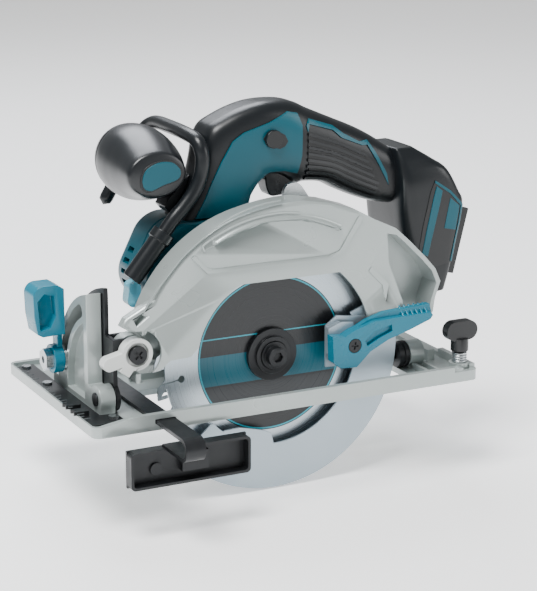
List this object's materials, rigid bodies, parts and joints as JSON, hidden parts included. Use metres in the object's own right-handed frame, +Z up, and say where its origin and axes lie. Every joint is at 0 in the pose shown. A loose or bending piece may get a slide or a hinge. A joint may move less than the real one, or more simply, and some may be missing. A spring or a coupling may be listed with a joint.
{
  "type": "circular saw",
  "caption": "Cordless circular saw with a tilting sole, swinging depth gear, self-closing lower guard, D-handle, front knob, hanging hook and rip fence.",
  "frame": {"origin": "centre of the sole's underside", "axes": "+X to the rear of the saw, -Y to the blade side, +Z up"},
  "size_m": [0.3042, 0.2015, 0.25],
  "materials": {
    "cast_light": "light grey-green die casting, satin",
    "teal_plastic": "moulded nylon, satin",
    "black_plastic": "moulded nylon, fine texture",
    "black_rubber": "soft overmould",
    "black_steel": "black coated steel",
    "bright_steel": "zinc plated",
    "guard_alloy": "pressed aluminium, satin",
    "cast_alloy": "die cast, raw",
    "copper_winding": "enamelled copper",
    "board_green": "circuit board",
    "light_plastic": "moulded acetal",
    "lamp_lens": "clear tinted lens"
  },
  "bodies": {
    "base": {"base_plate": "cast_light", "ruler_plate": "black_plastic", "ruler_screws": "bright_steel", "bevel_quadrant": "cast_light", "quadrant_screws": "bright_steel", "bevel_pivot_pin": "black_steel", "rear_pivot_screw": "black_steel", "thumb_screw_spring": "bright_steel"},
    "tilt_frame": {"front_bracket": "black_steel", "bevel_bolt": "bright_steel", "depth_pivot_pin": "black_steel", "depth_guide": "bright_steel", "rear_bracket": "black_steel"},
    "head": {"blade_case": "cast_light", "case_screws": "black_steel", "guard_ring": "bright_steel", "guard_spring": "bright_steel", "gear_housing": "cast_alloy", "gear_cover": "cast_alloy", "spindle_bearings": "bright_steel", "rotor_bearings": "bright_steel", "stator": "copper_winding", "motor_housing": "teal_plastic", "motor_end_cap": "teal_plastic", "handle_left_shell": "black_plastic", "handle_right_shell": "black_plastic", "left_side_cover": "teal_plastic", "right_side_cover": "teal_plastic", "grip_pads": "black_rubber", "trigger_switch": "black_plastic", "controller_board": "board_green", "terminal_block": "black_plastic", "front_knob": "black_rubber", "knob_badge": "teal_plastic", "knob_bracket": "black_plastic", "hook_holder": "black_plastic", "led_lens": "lamp_lens", "depth_stud": "bright_steel"},
    "blade_spindle": {"blade": "bright_steel", "outer_flange": "black_steel", "inner_flange": "black_steel", "blade_bolt": "black_steel", "spindle": "bright_steel", "drive_gear": "bright_steel"},
    "motor_rotor": {"rotor": "bright_steel", "motor_pinion": "bright_steel", "cooling_fan": "black_plastic"},
    "lower_guard": {"lower_guard": "guard_alloy", "guard_bracket": "guard_alloy", "guard_lever": "teal_plastic", "guard_lever_screw": "black_steel"},
    "bevel_lever": {"bevel_lever": "teal_plastic"},
    "positive_stopper": {"positive_stopper": "light_plastic"},
    "depth_lever": {"depth_lever": "black_plastic"},
    "shaft_lock": {"shaft_lock": "black_plastic"},
    "trigger": {"trigger": "black_plastic"},
    "lock_off_button": {"lock_off_button": "black_plastic"},
    "hook": {"hook": "black_steel"},
    "rip_fence": {"rip_fence": "black_steel"},
    "thumb_screw": {"thumb_screw": "black_plastic"}
  },
  "joints": [
    {"name": "bevel", "type": "hinge", "parent": "base", "child": "tilt_frame", "pos_m": [0, -0.041, 0.013], "axis": [1, 0, 0], "range_deg": [0, 50]},
    {"name": "depth", "type": "hinge", "parent": "tilt_frame", "child": "head", "pos_m": [-0.098, -0.041, 0.042], "axis": [0, -1, 0], "range_deg": [0, 30]},
    {"name": "blade_spin", "type": "hinge", "parent": "head", "child": "blade_spindle", "pos_m": [0, -0.041, 0.027], "axis": [0, 1, 0], "continuous": true},
    {"name": "rotor_spin", "type": "hinge", "parent": "head", "child": "motor_rotor", "pos_m": [-0.01096, -0.041, 0.04947], "axis": [0, 1, 0], "continuous": true},
    {"name": "guard_open", "type": "hinge", "parent": "head", "child": "lower_guard", "pos_m": [0, -0.041, 0.027], "axis": [0, -1, 0], "range_deg": [0, 120], "stiffness_Nm_per_rad": 0.12, "springref_deg": -45.84},
    {"name": "bevel_clamp", "type": "hinge", "parent": "tilt_frame", "child": "bevel_lever", "pos_m": [-0.127, 0.01454, 0.02582], "axis": [1, 0, 0], "range_deg": [-70, 0]},
    {"name": "bevel_stop", "type": "hinge", "parent": "tilt_frame", "child": "positive_stopper", "pos_m": [-0.098, -0.049, 0.042], "axis": [0, 1, 0], "range_deg": [-8, 20]},
    {"name": "depth_clamp", "type": "hinge", "parent": "head", "child": "depth_lever", "pos_m": [0.0498, -0.025, 0.03425], "axis": [0, 1, 0], "range_deg": [-30, 25]},
    {"name": "spindle_lock", "type": "slide", "parent": "head", "child": "shaft_lock", "axis": [-0.9397, 0, 0.342], "range_m": [0, 0.0045], "stiffness_N_per_m": 400, "springref_m": -0.002},
    {"name": "trigger_pull", "type": "slide", "parent": "head", "child": "trigger", "axis": [0, 0, 1], "range_m": [0, 0.005], "stiffness_N_per_m": 900, "springref_m": -0.002},
    {"name": "lock_off_push", "type": "slide", "parent": "head", "child": "lock_off_button", "axis": [0, 1, 0], "range_m": [0, 0.004], "stiffness_N_per_m": 500, "springref_m": -0.002},
    {"name": "hook_swing", "type": "hinge", "parent": "head", "child": "hook", "pos_m": [-0.09, -0.0256, 0.0835], "axis": [0.6347, 0, 0.7727], "range_deg": [0, 90]},
    {"name": "fence_slide", "type": "slide", "parent": "base", "child": "rip_fence", "axis": [0, -1, 0], "range_m": [-0.006, 0.08]},
    {"name": "fence_screw_turn", "type": "hinge", "parent": "base", "child": "thumb_screw", "pos_m": [0.13, -0.065, 0.027], "axis": [0, 0, 1], "continuous": true}
  ],
  "couplings": [
    {"joint": "rotor_spin", "follows": "blade_spin", "ratio": -4}
  ]
}
